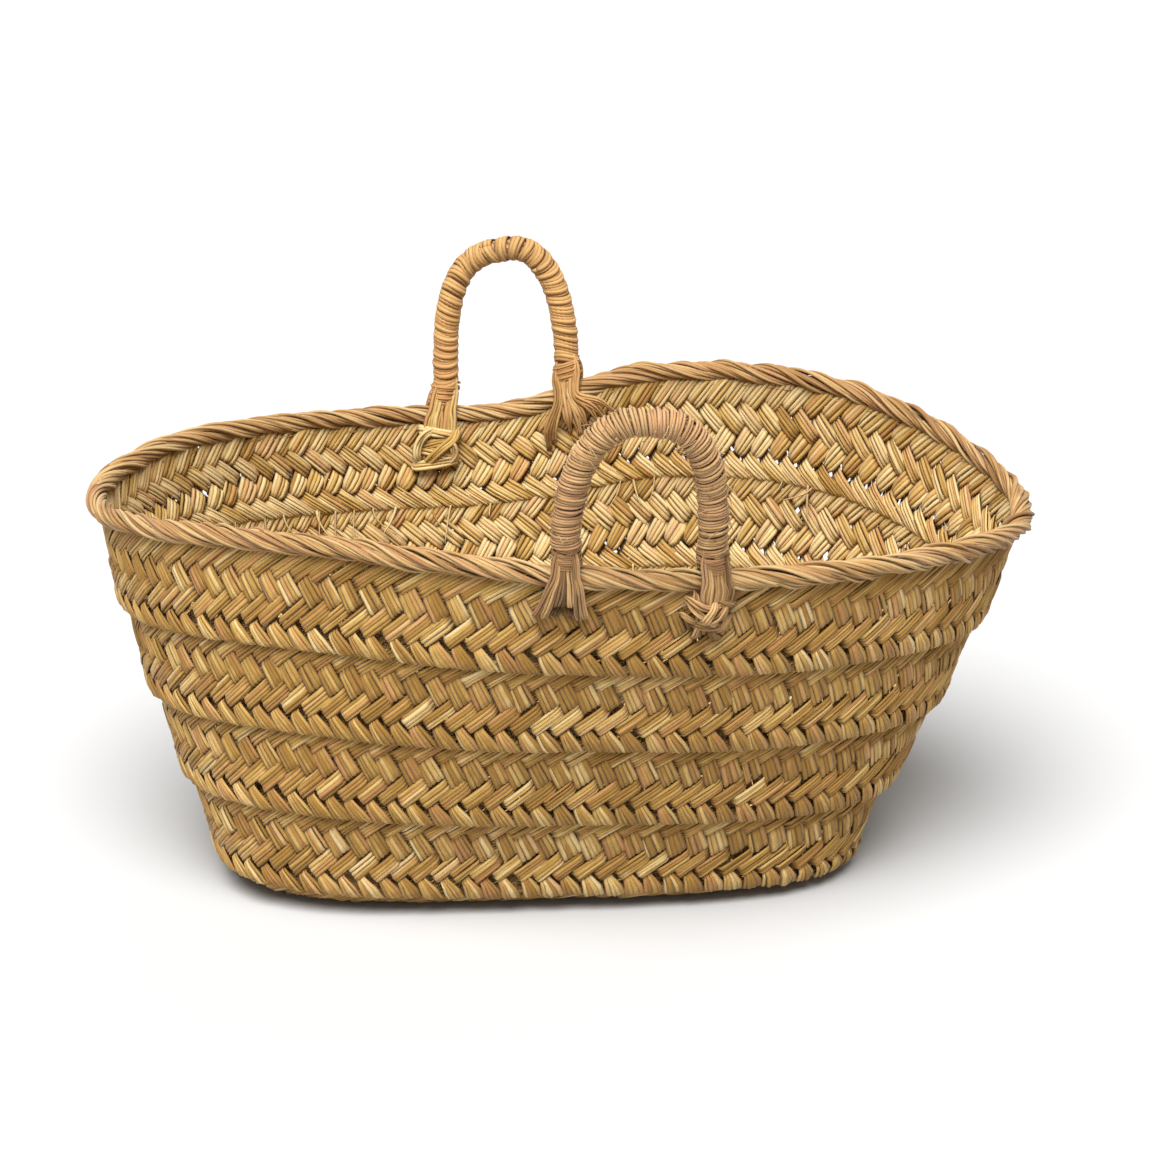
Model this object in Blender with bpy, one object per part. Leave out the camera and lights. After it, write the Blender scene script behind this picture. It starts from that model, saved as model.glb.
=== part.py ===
"""Oval storage basket of plaited grass leaf, with two stiff rope handles.

One flat plait is coiled edge to edge from the middle of the base up to the rim and sewn with cord.
Metres, +Z up. The origin is in the middle of the base, on the face that the basket rests on.
"""

import math

import bmesh
import bpy
import numpy as np
from mathutils import Vector

# ---- driving dimensions, metres -------------------------------------------------------------
RIM_LENGTH = 0.550            # plain oval of the rim, before its waves; they lengthen it to 0.57
RIM_WIDTH = 0.354
RIM_SQUARENESS = 1.9          # superellipse exponent of the rim
RIM_HEIGHT = 0.237            # mean height of the rim
BASE_LENGTH = 0.398           # outside the knee, where the wall turns under
BASE_WIDTH = 0.232
BASE_SQUARENESS = 3.7
BASE_TURN = 0.036             # radians that the base is turned against the rim
BASE_SHIFT = (-0.011, -0.0125)  # the base sits a little off the middle of the rim
KNEE_HEIGHT = 0.022
KNEE_INSET = 0.024
WALL_BULGE = 0.004

PLAIT_WIDTH = 0.0590          # second base turn with its seam; the wall's turns share out the wall's height
PLAIT_THICKNESS = 0.007
PLAIT_TUCK = 0.0030           # a turn's lower edge stands out, its upper edge is tucked under the next
PLAIT_LEDGE = 0.0012          # the lower edge is thicker on the inside too
FIRST_SEAM = -0.010           # lowest wall seam, along the skin from the knee
SEAM_TILT = 0.006             # the coil climbs, so the seams lie higher at -X than at +X
WALL_TURNS = 4

SEAM_CORD = 0.0024            # diameter
SEAM_CLEARANCE = 0.0006       # cord to plait edge
SEAM_DEPTH = 0.0052           # cord's centre line inside the skin
MIDDLE_CORD_LENGTH = 0.100    # in the hairpin where the coil starts
RIM_ROPE = 0.0130             # diameter

HANDLE_CORE = 0.0124          # diameter of the rope inside a handle
HANDLE_WRAP = 0.0022          # thickness of the leaf wound round it
HANDLE_LEAN = math.radians(10.5)  # outwards from upright
HANDLE_HEIGHT = 0.0943        # top of the arch's centre line above the rim, along the lean
FRONT_SPAN = 0.084            # between leg centre lines
REAR_SPAN = 0.083
FRONT_MIDDLE = 0.044          # X of the middle of each handle
REAR_MIDDLE = -0.0265
SPLAY_SIDE_SQUARENESS = 2.2   # the arch is slacker above its splayed foot
KNOT_SIDE_SQUARENESS = 3.2

STRAP = 0.0030                # thickness of a foot where it passes over the rim
SPLAY_LENGTH = 0.030          # how far a splayed foot reaches down the wall
SPLAY_WIDTH = (0.016, 0.034)  # at the rim, at its lower end
SPLAY_DEPTH = 0.0050          # how far it stands off the wall
KNOT_LENGTH = 0.036
KNOT_WIDTH = (0.020, 0.030)
KNOT_DEPTH = 0.0080

GAP = 0.0003                  # between pieces that touch
STATIONS = 60                 # sections round the basket
FOOT_SECTIONS = 7
HANDLE_SECTIONS = 22
WRAP_SIDES = 10

# The hand-made rim isn't an even oval and isn't level: waves per turn, size, where each wave peaks.
RIM_OUTLINE_WAVES = ((1, 0.067, -78.0), (2, 0.046, -39.0), (3, 0.006, 9.0), (4, 0.014, 86.0))
RIM_HEIGHT_WAVES = ((2, 0.0130, 122.5), (3, 0.0064, 141.0), (4, 0.0058, -149.0), (1, 0.0028, 135.0))
RIM_STEP = (0.0050, 86.0, 10.0)   # where the coil ends the rim steps up: size, angle, spread

STRAW = (0.50, 0.32, 0.11, 1.0)
PALE_STRAW = (0.62, 0.42, 0.18, 1.0)
DARK_STRAW = (0.30, 0.18, 0.07, 1.0)


# ---- the basket's surface -------------------------------------------------------------------
def oval(half_length, half_width, squareness, angle):
    c, s = np.cos(angle), np.sin(angle)
    power = 2.0 / squareness
    x = half_length * np.sign(c) * np.abs(c) ** power
    y = half_width * np.sign(s) * np.abs(s) ** power
    return np.stack([x, y], -1)


def waves(table, angle):
    return sum(size * np.cos(k * angle - math.radians(peak)) for k, size, peak in table)


def rim_step(angle):
    size, place, spread = RIM_STEP
    away = (math.radians(place) - angle) / math.radians(spread)
    return size * away * np.exp(0.5 - away**2 / 2)


def rim_line(angle):
    plan = oval(RIM_LENGTH / 2, RIM_WIDTH / 2, RIM_SQUARENESS, angle)
    plan = plan * (1 + waves(RIM_OUTLINE_WAVES, angle))[..., None]
    height = RIM_HEIGHT + waves(RIM_HEIGHT_WAVES, angle) + rim_step(angle)
    return np.concatenate([plan, height[..., None]], -1)


def base_line(angle, inset):
    """Oval round the base, drawn in by inset, which grows rounder towards the middle."""
    inset = np.minimum(inset, BASE_WIDTH / 2 * 0.98)
    share = inset / (BASE_WIDTH / 2)
    squareness = BASE_SQUARENESS + (2.4 - BASE_SQUARENESS) * share
    plan = oval(BASE_LENGTH / 2 - inset, BASE_WIDTH / 2 - inset, squareness, angle)
    c, s = math.cos(BASE_TURN), math.sin(BASE_TURN)
    x = plan[..., 0] * c - plan[..., 1] * s + BASE_SHIFT[0]
    y = plan[..., 0] * s + plan[..., 1] * c + BASE_SHIFT[1]
    return np.stack([x, y], -1)


KNEE_ARC = math.pi / 2 * (KNEE_INSET + KNEE_HEIGHT) / 2


def wall_slant(angle):
    """Length of the wall from the knee to the rim."""
    low = base_line(angle, np.zeros_like(angle))
    top = rim_line(angle)
    run = np.linalg.norm(top[..., :2] - low, axis=-1)
    return np.hypot(run, top[..., 2] - KNEE_HEIGHT)


def skin(angle, up):
    """Point on the outer skin: up is the way along it from the knee, below zero round and under it."""
    angle, up = np.broadcast_arrays(np.asarray(angle, float), np.asarray(up, float))
    turn = np.clip(-up / KNEE_ARC, 0, 1) * math.pi / 2
    inset = KNEE_INSET * (1 - np.cos(turn)) + np.maximum(-up - KNEE_ARC, 0)
    low = base_line(angle, inset)
    low = np.concatenate([low, (KNEE_HEIGHT * (1 - np.sin(turn)))[..., None]], -1)
    share = np.maximum(up, 0) / wall_slant(angle)
    wall = low + (rim_line(angle) - low) * share[..., None]
    outward = wall[..., :2] / np.array([RIM_LENGTH**2, RIM_WIDTH**2])
    outward = outward / (np.linalg.norm(outward, axis=-1) + 1e-9)[..., None]
    bulge = WALL_BULGE * np.sin(np.pi * np.minimum(share, 1))
    wall[..., :2] += bulge[..., None] * outward
    return wall


def normal(angle, up):
    """Outward direction of the skin."""
    step = 0.002
    along = skin(np.asarray(angle) + step, up) - skin(np.asarray(angle) - step, up)
    upward = skin(angle, np.asarray(up) + step) - skin(angle, np.asarray(up) - step)
    out = np.cross(along, upward)
    return out / (np.linalg.norm(out, axis=-1) + 1e-12)[..., None]


def even_angles():
    """Angles that step evenly along the rim, so the sections are as wide at the ends as at the sides."""
    fine = np.linspace(0, 2 * math.pi, 2001)
    steps = np.linalg.norm(np.diff(rim_line(fine), axis=0), axis=1)
    run = np.concatenate([[0], np.cumsum(steps)])
    return np.interp(np.arange(STATIONS) / STATIONS * run[-1], run, fine)


ANGLES = even_angles()


# ---- where the seams run --------------------------------------------------------------------
def wall_seam(number, angle):
    """Height along the skin of the seam under wall turn number, counted from 1."""
    tilt = SEAM_TILT * np.cos(angle)
    full = top_seam(angle) - FIRST_SEAM + tilt
    share = (number - 1) / WALL_TURNS
    return FIRST_SEAM - tilt * (1 - share) + (full - tilt) * share


def rope_line(angle):
    return wall_slant(angle) - RIM_ROPE / 2


def top_seam(angle):
    return rope_line(angle) - RIM_ROPE / 2 - SEAM_CLEARANCE - SEAM_CORD / 2


def base_seam(angle):
    """Seam between the two base turns."""
    return np.zeros_like(angle) + FIRST_SEAM - PLAIT_WIDTH


def middle_slit(angle):
    """The hairpin of the first base turn closes on the middle line of the base."""
    closing = BASE_WIDTH / 2 - SEAM_CORD / 2 - SEAM_CLEARANCE
    return np.zeros_like(angle) - KNEE_ARC - (closing - KNEE_INSET)


# ---- building -------------------------------------------------------------------------------
def material(name, colour, roughness):
    made = bpy.data.materials.new(name)
    made.use_nodes = True
    shader = made.node_tree.nodes["Principled BSDF"]
    shader.inputs["Base Color"].default_value = colour
    shader.inputs["Roughness"].default_value = roughness
    shader.inputs["Metallic"].default_value = 0.0
    return made


def add_object(name, data, paint):
    made = bpy.data.objects.new(name, data)
    bpy.context.scene.collection.objects.link(made)
    data.materials.append(paint)
    return made


def grid_mesh(name, rows, around):
    """Closed mesh from rings of points: a loop of them, or a run with its two ends closed."""
    bm = bmesh.new()
    verts = [[bm.verts.new(p) for p in row] for row in rows]
    count, width = len(rows), len(rows[0])
    for i in range(count if around else count - 1):
        here, there = verts[i], verts[(i + 1) % count]
        for j in range(width):
            k = (j + 1) % width
            bm.faces.new((here[j], there[j], there[k], here[k]))
    if not around:
        bm.faces.new(verts[0])
        bm.faces.new(list(reversed(verts[-1])))
    bmesh.ops.recalc_face_normals(bm, faces=bm.faces)
    mesh = bpy.data.meshes.new(name)
    bm.to_mesh(mesh)
    bm.free()
    mesh.shade_smooth()
    mesh.set_sharp_from_angle(angle=math.radians(50))
    return mesh


def plait_band(name, bottom, top, tuck, ledge, sections, paint):
    """One closed turn of plait, with its edges square to the basket's surface."""
    outer, inner = [], []
    for share in np.linspace(0, 1, sections):
        up = bottom + (top - bottom) * share
        facing = normal(ANGLES, up)
        outer.append(skin(ANGLES, up) + facing * tuck * (1 - 2 * share))
        inner.append(skin(ANGLES, up) - facing * (PLAIT_THICKNESS + ledge * (1 - 2 * share)))
    section = np.stack(outer + inner[::-1], 1)
    return add_object(name, grid_mesh(name, section, around=True), paint)


def rope(name, points, diameter, sides, paint, closed):
    """Round cord along points: a curve with a round bevel."""
    curve = bpy.data.curves.new(name, "CURVE")
    curve.dimensions = "3D"
    curve.bevel_depth = diameter / 2
    curve.bevel_resolution = (sides - 4) // 2
    curve.use_fill_caps = not closed
    spline = curve.splines.new("POLY")
    spline.points.add(len(points) - 1)
    for place, point in zip(spline.points, points):
        place.co = (*point, 1.0)
        place.radius = 1.0
    spline.use_cyclic_u = closed
    spline.use_smooth = True
    return add_object(name, curve, paint)


def seam_cord(name, seam, paint):
    """Sewing cord that runs in a seam, in the middle of the plait's thickness."""
    up = seam(ANGLES)
    points = skin(ANGLES, up) - normal(ANGLES, up) * SEAM_DEPTH
    return rope(name, points, SEAM_CORD, 4, paint, closed=True)


def middle_cord(name, paint):
    """Straight sewing cord in the hairpin, along the middle line of the base."""
    run = np.linspace(-0.5, 0.5, 5) * MIDDLE_CORD_LENGTH
    points = [(BASE_SHIFT[0] + d * math.cos(BASE_TURN), BASE_SHIFT[1] + d * math.sin(BASE_TURN),
               PLAIT_THICKNESS / 2) for d in run]
    return rope(name, points, SEAM_CORD, 4, paint, closed=False)


# ---- handles --------------------------------------------------------------------------------
def angle_at(x, side):
    """Angle on the rim at that x, on the side +1 (rear) or -1 (front)."""
    angles = np.linspace(0.25, 0.75, 2001) * math.pi * side
    return float(np.interp(-x, -rim_line(angles)[:, 0], angles))


def straight_down(x, side):
    """Turn of the angle for each metre down the wall that keeps x the same."""
    angles = np.linspace(0.2, 0.8, 2001) * math.pi * side
    low = base_line(angles, np.zeros_like(angles))[:, 0]
    knee = float(np.interp(-x, -low, angles))
    rim = angle_at(x, side)
    return (knee - rim) / float(wall_slant(np.array(rim)))


def by_the_rim(angle, down, out):
    """Point from the rim rope's centre: down along the wall's middle, out from it."""
    angle, down, out = np.broadcast_arrays(*(np.asarray(v, float) for v in (angle, down, out)))
    up = rope_line(angle) - np.maximum(down, 0)
    facing = normal(angle, np.minimum(up, rope_line(angle) - 0.004))
    point = skin(angle, up) - facing * PLAIT_THICKNESS / 2
    upward = skin(angle, rope_line(angle)) - skin(angle, rope_line(angle) - 0.01)
    upward = upward / np.linalg.norm(upward, axis=-1)[..., None]
    return point + upward * np.maximum(-down, 0)[..., None] + facing * out[..., None]


WRAP_RADIUS = HANDLE_CORE / 2 + GAP + HANDLE_WRAP
STRAP_TOP = RIM_ROPE / 2 + GAP + STRAP
ROOT_RISE = STRAP_TOP + 2 * GAP + WRAP_RADIUS
CORE_ENDS = ((0, 0.35), (-1, 0.35))    # the core's tips against its full radius


def foot(name, x, side, length, widths, depth, paint):
    """Bundle of leaf that straddles the rim: a strap over the rope and a flap down each face of the wall."""
    angle = angle_at(x, side)
    drift = straight_down(x, side)
    rope_side = RIM_ROPE / 2 + GAP
    wall_side = PLAIT_THICKNESS / 2 + PLAIT_TUCK + 2 * GAP
    below = RIM_ROPE / 2 + 0.004
    inner = [(length, wall_side), (below, wall_side), (RIM_ROPE / 3, rope_side + GAP),
             (-RIM_ROPE / 3, rope_side + GAP), (-rope_side, RIM_ROPE / 3)]
    outer = [(length, wall_side + depth), (below, rope_side + depth), (-RIM_ROPE / 3, rope_side + STRAP),
             (-STRAP_TOP, RIM_ROPE / 3)]
    half = inner + outer[::-1]
    outline = inner + [(d, -o) for d, o in inner[::-1]]
    outline += [(d, -o) for d, o in outer] + outer[::-1]
    along = np.linalg.norm(rim_line(np.array(angle + 0.01)) - rim_line(np.array(angle))) / 0.01
    rows = []
    for station in np.linspace(-1, 1, FOOT_SECTIONS):
        row = []
        for down, out in outline:
            share = max(down, 0) / length
            width = widths[0] + (widths[1] - widths[0]) * share
            there = angle + drift * max(down, 0) + station * width / 2 / along
            row.append(by_the_rim(there, down, out))
        rows.append(row)
    mesh = grid_mesh(name, rows, around=False)
    return add_object(name, mesh, paint)


def handle_roots(side):
    """Ends of a handle's centre line, splayed foot first."""
    middle, span = (REAR_MIDDLE, REAR_SPAN) if side > 0 else (FRONT_MIDDLE, FRONT_SPAN)
    splay = by_the_rim(angle_at(middle + side * span / 2, side), -ROOT_RISE, 0)
    knot = by_the_rim(angle_at(middle - side * span / 2, side), -ROOT_RISE, 0)
    return Vector(splay), Vector(knot)


def arch(side):
    """Centre line of a handle, from the root over its splayed foot to the root over its knot."""
    splay, knot = handle_roots(side)
    along = knot - splay
    half = along.length / 2
    along.normalize()
    lean = Vector((0, side * math.sin(HANDLE_LEAN), math.cos(HANDLE_LEAN)))
    rise = HANDLE_HEIGHT - ROOT_RISE + RIM_ROPE / 2
    fine = np.linspace(0, math.pi, 721)
    flat = []
    for turn in fine:
        c, s = math.cos(turn), math.sin(turn)
        squareness = SPLAY_SIDE_SQUARENESS if c > 0 else KNOT_SIDE_SQUARENESS
        x = math.copysign(abs(c) ** (2 / squareness), -c) * half
        flat.append((x, rise * abs(s) ** (2 / squareness)))
    flat = np.array(flat)
    run = np.concatenate([[0], np.cumsum(np.linalg.norm(np.diff(flat, axis=0), axis=1))])
    even = np.linspace(0, run[-1], HANDLE_SECTIONS)
    x, z = np.interp(even, run, flat[:, 0]), np.interp(even, run, flat[:, 1])
    middle = (splay + knot) / 2
    return [middle + along * a + lean * b for a, b in zip(x, z)]


def sleeve(name, points, inner, outer, sides, paint, parent):
    """Tube with a hole through it along a flat arch of points."""
    plane = (points[-1] - points[0]).cross(points[len(points) // 2] - points[0]).normalized()
    rows = []
    for i, point in enumerate(points):
        before, after = points[max(i - 1, 0)], points[min(i + 1, len(points) - 1)]
        tangent = (after - before).normalized()
        across = plane.cross(tangent)
        turns = [t * 2 * math.pi / sides for t in range(sides)]
        ring = [plane * math.cos(t) + across * math.sin(t) for t in turns]
        rows.append([[point + arm * radius for arm in ring] for radius in (outer, inner)])
    bm = bmesh.new()
    outside = [[bm.verts.new(p) for p in row[0]] for row in rows]
    inside = [[bm.verts.new(p) for p in row[1]] for row in rows]
    for a, b in zip(range(len(rows) - 1), range(1, len(rows))):
        for j in range(sides):
            k = (j + 1) % sides
            bm.faces.new((outside[a][j], outside[b][j], outside[b][k], outside[a][k]))
            bm.faces.new((inside[a][k], inside[b][k], inside[b][j], inside[a][j]))
    for end in (0, -1):
        for j in range(sides):
            k = (j + 1) % sides
            bm.faces.new((outside[end][j], outside[end][k], inside[end][k], inside[end][j]))
    bmesh.ops.recalc_face_normals(bm, faces=bm.faces)
    mesh = bpy.data.meshes.new(name)
    bm.to_mesh(mesh)
    bm.free()
    mesh.shade_smooth()
    mesh.set_sharp_from_angle(angle=math.radians(50))
    mesh.transform(parent.matrix_world.inverted())
    made = add_object(name, mesh, paint)
    made.parent = parent
    return made


def rounded_ends(points):
    """The core runs on past the wrap at both ends, narrowing, and keeps inside the wrap's turning circle."""
    made = list(points)
    for end, inner in ((points[0], points[1]), (points[-1], points[-2])):
        onward = (end - inner).normalized()
        extra = [end + onward * WRAP_RADIUS * 0.68, end + onward * WRAP_RADIUS * 0.95]
        made = made + extra if end is points[-1] else extra[::-1] + made
    return made


def handle(prefix, side, core_paint, wrap_paint):
    """A stiff rope arch with leaf wound round it. Its empty sits on the line through both roots."""
    splay, knot = handle_roots(side)
    pivot = bpy.data.objects.new(prefix + "_pivot", None)
    bpy.context.scene.collection.objects.link(pivot)
    pivot.location = (splay + knot) / 2
    bpy.context.view_layer.update()
    points = arch(side)
    local = [p - pivot.location for p in points]
    core = rope(prefix + "_core", rounded_ends(local), HANDLE_CORE, 8, core_paint, closed=False)
    for place, share in CORE_ENDS:
        core.data.splines[0].points[place].radius = share
    core.parent = pivot
    bore = (HANDLE_CORE / 2 + GAP) / math.cos(math.pi / WRAP_SIDES)
    sleeve(prefix + "_wrap", points, bore, WRAP_RADIUS, WRAP_SIDES, wrap_paint, pivot)


def feet(prefix, side, paint):
    middle, span = (REAR_MIDDLE, REAR_SPAN) if side > 0 else (FRONT_MIDDLE, FRONT_SPAN)
    foot(prefix + "_splay", middle + side * span / 2, side, SPLAY_LENGTH, SPLAY_WIDTH, SPLAY_DEPTH, paint)
    foot(prefix + "_knot", middle - side * span / 2, side, KNOT_LENGTH, KNOT_WIDTH, KNOT_DEPTH, paint)


# ---- the basket -----------------------------------------------------------------------------
for old in list(bpy.data.objects):
    bpy.data.objects.remove(old)

leaf = material("plaited_leaf", STRAW, 0.8)
cord = material("sewing_cord", DARK_STRAW, 0.85)
twist = material("twisted_leaf", PALE_STRAW, 0.75)

edge = SEAM_CORD / 2 + SEAM_CLEARANCE
plait_band("base_turn_1", middle_slit(ANGLES), base_seam(ANGLES) - edge, 0.0, 0.0, 3, leaf)
plait_band("base_turn_2", base_seam(ANGLES) + edge, wall_seam(1, ANGLES) - edge, 0.0, 0.0, 5, leaf)
middle_cord("base_seam_cord_1", cord)
seam_cord("base_seam_cord_2", base_seam, cord)

for turn in range(1, WALL_TURNS + 1):
    low, high = wall_seam(turn, ANGLES) + edge, wall_seam(turn + 1, ANGLES) - edge
    plait_band(f"wall_turn_{turn}", low, high, PLAIT_TUCK, PLAIT_LEDGE, 3 if turn > 1 else 5, leaf)
    seam_cord(f"wall_seam_cord_{turn}", lambda a, n=turn: wall_seam(n, a), cord)

rope("rim_rope", by_the_rim(ANGLES, 0.0, 0.0), RIM_ROPE, 8, twist, closed=True)
seam_cord("rim_seam_cord", top_seam, cord)

for prefix, side in (("front_handle", -1), ("rear_handle", 1)):
    handle(prefix, side, cord, twist)
    feet(prefix, side, twist)
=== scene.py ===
"""Oval storage basket of plaited grass leaf, with a twisted rim and two stiff wound handles.

Metres, +Z up. One flat plait is coiled from the middle of the base up to the rim and sewn edge to edge.
"""

import math

import bpy
import numpy as np
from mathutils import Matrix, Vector


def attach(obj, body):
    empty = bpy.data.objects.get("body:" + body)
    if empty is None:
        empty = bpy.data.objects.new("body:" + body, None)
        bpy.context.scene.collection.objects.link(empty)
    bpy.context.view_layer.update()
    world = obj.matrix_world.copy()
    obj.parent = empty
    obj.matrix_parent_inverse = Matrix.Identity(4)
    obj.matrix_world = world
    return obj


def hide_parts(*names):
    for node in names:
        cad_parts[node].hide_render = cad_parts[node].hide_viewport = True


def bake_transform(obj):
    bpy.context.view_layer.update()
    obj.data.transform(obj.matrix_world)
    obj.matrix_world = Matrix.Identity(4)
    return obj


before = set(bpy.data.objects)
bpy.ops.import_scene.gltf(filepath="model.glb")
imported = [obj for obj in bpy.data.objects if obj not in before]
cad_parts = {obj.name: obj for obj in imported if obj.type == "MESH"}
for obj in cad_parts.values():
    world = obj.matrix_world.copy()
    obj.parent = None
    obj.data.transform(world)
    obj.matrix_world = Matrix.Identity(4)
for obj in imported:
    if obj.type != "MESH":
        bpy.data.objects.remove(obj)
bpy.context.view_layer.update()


# ---- the table it stands on, the light and the camera ---------------------------------------
# A matt pale grey sheet under a strong soft light from above and in front, which makes it look white.
# The rest of the room is pale, so the shadows are soft and the inside of the basket is lit as well.
def to_linear(hex_colour):
    """sRGB hex to linear RGBA."""
    parts = [int(hex_colour[i:i + 2], 16) / 255 for i in (1, 3, 5)]
    return tuple(c / 12.92 if c <= 0.04045 else ((c + 0.055) / 1.055) ** 2.4 for c in parts) + (1.0,)


def add_node(tree, kind, settings=None, inputs=None):
    """A node with its settings, and its inputs given as values or as other nodes' outputs."""
    node = tree.nodes.new(kind)
    for name, value in (settings or {}).items():
        setattr(node, name, value)
    for name, value in (inputs or {}).items():
        if isinstance(value, bpy.types.NodeSocket):
            tree.links.new(value, node.inputs[name])
        else:
            node.inputs[name].default_value = value
    return node


def new_material(name):
    made = bpy.data.materials.new(name)
    made.use_nodes = True
    return made, made.node_tree, made.node_tree.nodes["Principled BSDF"]


bpy.ops.object.select_all(action="DESELECT")
bpy.ops.mesh.primitive_plane_add(size=14.0, location=(0, 0, 0))
table = bpy.context.object
table.name = "table"
paper, tree, shader = new_material("matt_pale_paper")
grain = add_node(tree, "ShaderNodeTexNoise", inputs={"Scale": 40.0, "Detail": 2.0})
tint = add_node(tree, "ShaderNodeMapRange", inputs={"Value": grain.outputs["Fac"], "To Min": 0.435, "To Max": 0.45})
tree.links.new(tint.outputs["Result"], shader.inputs["Base Color"])
shader.inputs["Roughness"].default_value = 0.9
shader.inputs["Specular IOR Level"].default_value = 0.1
table.data.materials.append(paper)

for name, heading, strength, softness in (
        ("overhead_light", (-0.13, -0.46, 1.0), 6.8, 48), ("front_light", (-0.5, -1.0, 0.45), 0.25, 60),
        ("back_light", (0.5, 1.0, 0.7), 0.8, 70)):
    bpy.ops.object.light_add(type="SUN", location=Vector(heading) * 2)
    light = bpy.context.object
    light.name = name
    light.data.energy = strength
    light.data.angle = math.radians(softness)
    light.rotation_euler = (-Vector(heading)).to_track_quat("-Z", "Y").to_euler()

world = bpy.data.worlds.new("pale_room")
bpy.context.scene.world = world
world.use_nodes = True
world.node_tree.nodes["Background"].inputs["Color"].default_value = to_linear("#fbf9f5")
world.node_tree.nodes["Background"].inputs["Strength"].default_value = 0.34
bpy.context.scene.view_settings.view_transform = "Standard"

CAMERA_AZIMUTH, CAMERA_ELEVATION, CAMERA_DISTANCE = -0.035, 0.366, 2.268
AIM = Vector((0.014, 0.0, 0.167))
LENS = 115.5
back = Vector((math.sin(CAMERA_AZIMUTH) * math.cos(CAMERA_ELEVATION),
               -math.cos(CAMERA_AZIMUTH) * math.cos(CAMERA_ELEVATION), math.sin(CAMERA_ELEVATION)))
bpy.ops.object.camera_add(location=AIM + back * CAMERA_DISTANCE)
camera = bpy.context.object
camera.rotation_euler = (-back).to_track_quat("-Z", "Y").to_euler()
camera.data.lens = LENS
camera.data.sensor_width = 36.0
bpy.context.scene.camera = camera


# ---- the plait ------------------------------------------------------------------------------
# Nine strands of four dried grass stalks, plaited over two and under two into a flat band.
# Each strand runs up one way, folds over the edge and comes down the other way on the far face.
# The band is coiled edge to edge; each turn's lower edge stands out over the turn below.
RIM_LENGTH, RIM_WIDTH, RIM_SQUARENESS, RIM_HEIGHT = 0.550, 0.354, 1.9, 0.237
BASE_LENGTH, BASE_WIDTH, BASE_SQUARENESS = 0.398, 0.232, 3.7
BASE_TURN, BASE_SHIFT = 0.036, (-0.011, -0.0125)
MIDDLE_SQUARENESS, MOST_DRAWN_IN = 2.4, 0.98    # of the base's oval as it closes on the middle
KNEE_HEIGHT, KNEE_INSET, WALL_BULGE = 0.022, 0.024, 0.004
KNEE_ARC = math.pi / 2 * (KNEE_INSET + KNEE_HEIGHT) / 2
# Waves round the rim: how many, how large, and where the first peak is in degrees.
RIM_OUTLINE_WAVES = ((1, 0.067, -78.0), (2, 0.046, -39.0), (3, 0.006, 9.0), (4, 0.014, 86.0))
RIM_HEIGHT_WAVES = ((2, 0.0130, 122.5), (3, 0.0064, 141.0), (4, 0.0058, -149.0), (1, 0.0028, 135.0))
RIM_STEP = (0.0050, 86.0, 10.0)   # height, and its place and spread in degrees
PLAIT_WIDTH, PLAIT_THICKNESS = 0.0590, 0.007
FIRST_SEAM, SEAM_TILT, WALL_TURNS = -0.010, 0.006, 4
SEAM_CORD, SEAM_CLEARANCE, SEAM_DEPTH, RIM_ROPE = 0.0024, 0.0006, 0.0052, 0.0130


def oval(half_length, half_width, squareness, angle):
    c, s = np.cos(angle), np.sin(angle)
    power = 2.0 / squareness
    return np.stack([half_length * np.sign(c) * np.abs(c) ** power,
                     half_width * np.sign(s) * np.abs(s) ** power], -1)


def waves(table, angle):
    return sum(size * np.cos(k * angle - math.radians(peak)) for k, size, peak in table)


def rim_line(angle):
    """Top of the wall round the basket."""
    plan = oval(RIM_LENGTH / 2, RIM_WIDTH / 2, RIM_SQUARENESS, angle)
    plan = plan * (1 + waves(RIM_OUTLINE_WAVES, angle))[..., None]
    size, place, spread = RIM_STEP
    turned = np.mod(angle + math.pi / 2, 2 * math.pi) - math.pi / 2
    away = (math.radians(place) - turned) / math.radians(spread)
    height = RIM_HEIGHT + waves(RIM_HEIGHT_WAVES, angle) + size * away * np.exp(0.5 - away**2 / 2)
    return np.concatenate([plan, height[..., None]], -1)


def base_line(angle, inset):
    """Oval round the base, drawn in by inset."""
    inset = np.minimum(inset, BASE_WIDTH / 2 * MOST_DRAWN_IN)
    squareness = BASE_SQUARENESS + (MIDDLE_SQUARENESS - BASE_SQUARENESS) * inset / (BASE_WIDTH / 2)
    plan = oval(BASE_LENGTH / 2 - inset, BASE_WIDTH / 2 - inset, squareness, angle)
    c, s = math.cos(BASE_TURN), math.sin(BASE_TURN)
    return np.stack([plan[..., 0] * c - plan[..., 1] * s + BASE_SHIFT[0],
                     plan[..., 0] * s + plan[..., 1] * c + BASE_SHIFT[1]], -1)


def wall_slant(angle):
    top = rim_line(angle)
    run = np.linalg.norm(top[..., :2] - base_line(angle, np.zeros_like(angle)), axis=-1)
    return np.hypot(run, top[..., 2] - KNEE_HEIGHT)


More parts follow.
